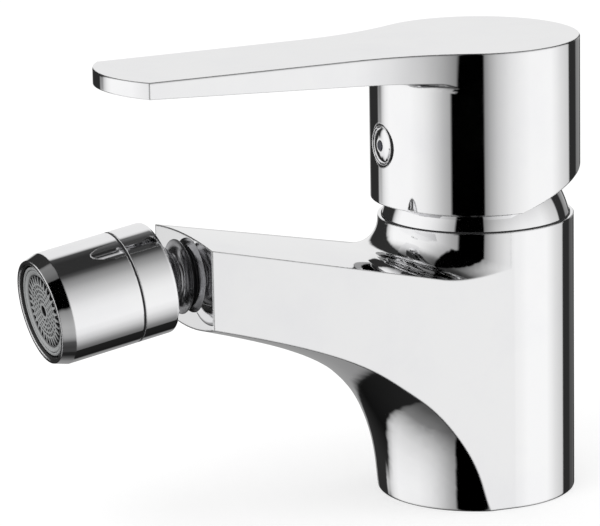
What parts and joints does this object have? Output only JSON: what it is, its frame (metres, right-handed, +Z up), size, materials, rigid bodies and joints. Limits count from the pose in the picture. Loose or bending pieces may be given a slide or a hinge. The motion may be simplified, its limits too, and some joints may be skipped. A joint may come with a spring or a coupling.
{
  "type": "bidet mixer",
  "caption": "Single-lever bidet mixer with a round body, a flat paddle lever, a short rising spout and a ball-jointed swivel outlet.",
  "frame": {"origin": "centre of the base on the body's axis, in the plane of the deck", "axes": "+Z up, -Y towards the outlet, +X to the right hand of someone who sits in front of the outlet and faces the tap"},
  "size_m": [0.0512, 0.1428, 0.113],
  "materials": {
    "chrome": "mirror chrome plate",
    "black_rubber": "satin",
    "cartridge_plastic": "moulded, satin",
    "ceramic": "lapped white ceramic",
    "brass": "machined",
    "steel": "machined",
    "grey_plastic": "moulded, satin",
    "blue_plastic": "gloss"
  },
  "bodies": {
    "body": {"body_casting": "chrome", "base_gasket": "black_rubber", "rear_plug": "chrome", "cartridge_base": "cartridge_plastic", "port_seals": "black_rubber", "fixed_disc": "ceramic", "cartridge_housing": "cartridge_plastic", "lock_nut": "brass", "dome_cap": "chrome", "swivel_nipple": "chrome", "nipple_o_ring": "black_rubber"},
    "turret_body": {"turret": "cartridge_plastic", "pivot_pin": "steel"},
    "disc_body": {"moving_disc": "ceramic", "disc_carrier": "cartridge_plastic"},
    "lever_body": {"lever_handle": "chrome", "cartridge_stem": "brass", "grub_screw": "steel", "index_button": "chrome", "index_insert": "blue_plastic"},
    "swivel_body": {"slide_ring": "cartridge_plastic"},
    "seal_body": {"ball_seal": "black_rubber"},
    "outlet_body": {"rear_sleeve": "chrome", "seam_ring": "black_rubber", "front_sleeve": "chrome", "seal_holder": "cartridge_plastic", "aerator_gasket": "black_rubber", "aerator_housing": "grey_plastic", "inlet_screen": "grey_plastic", "diffuser_plate": "grey_plastic", "outlet_grid": "grey_plastic"}
  },
  "joints": [
    {"name": "lever_turn", "type": "hinge", "parent": "body", "child": "turret_body", "pos_m": [0, 0, 0], "axis": [0, 0, 1], "range_deg": [-50, 50]},
    {"name": "lever_lift", "type": "hinge", "parent": "turret_body", "child": "lever_body", "pos_m": [0, 0, 0.064], "axis": [-1, 0, 0], "range_deg": [0, 25]},
    {"name": "disc_slide", "type": "slide", "parent": "turret_body", "child": "disc_body", "axis": [0, -1, 0], "range_m": [0, 0.0052]},
    {"name": "outlet_yaw", "type": "hinge", "parent": "body", "child": "swivel_body", "pos_m": [0, -0.0895, 0.0626], "axis": [0, 0, 1], "range_deg": [-18, 18]},
    {"name": "outlet_pitch", "type": "hinge", "parent": "swivel_body", "child": "seal_body", "pos_m": [0, -0.0895, 0.0626], "axis": [-1, 0, 0], "range_deg": [-8.7, 27.3]},
    {"name": "outlet_spin", "type": "hinge", "parent": "seal_body", "child": "outlet_body", "pos_m": [0, -0.0895, 0.0626], "axis": [0, -0.9869, -0.1616], "continuous": true}
  ],
  "couplings": [
    {"joint": "disc_slide", "follows": "lever_lift", "m_per_rad": 0.011841}
  ]
}
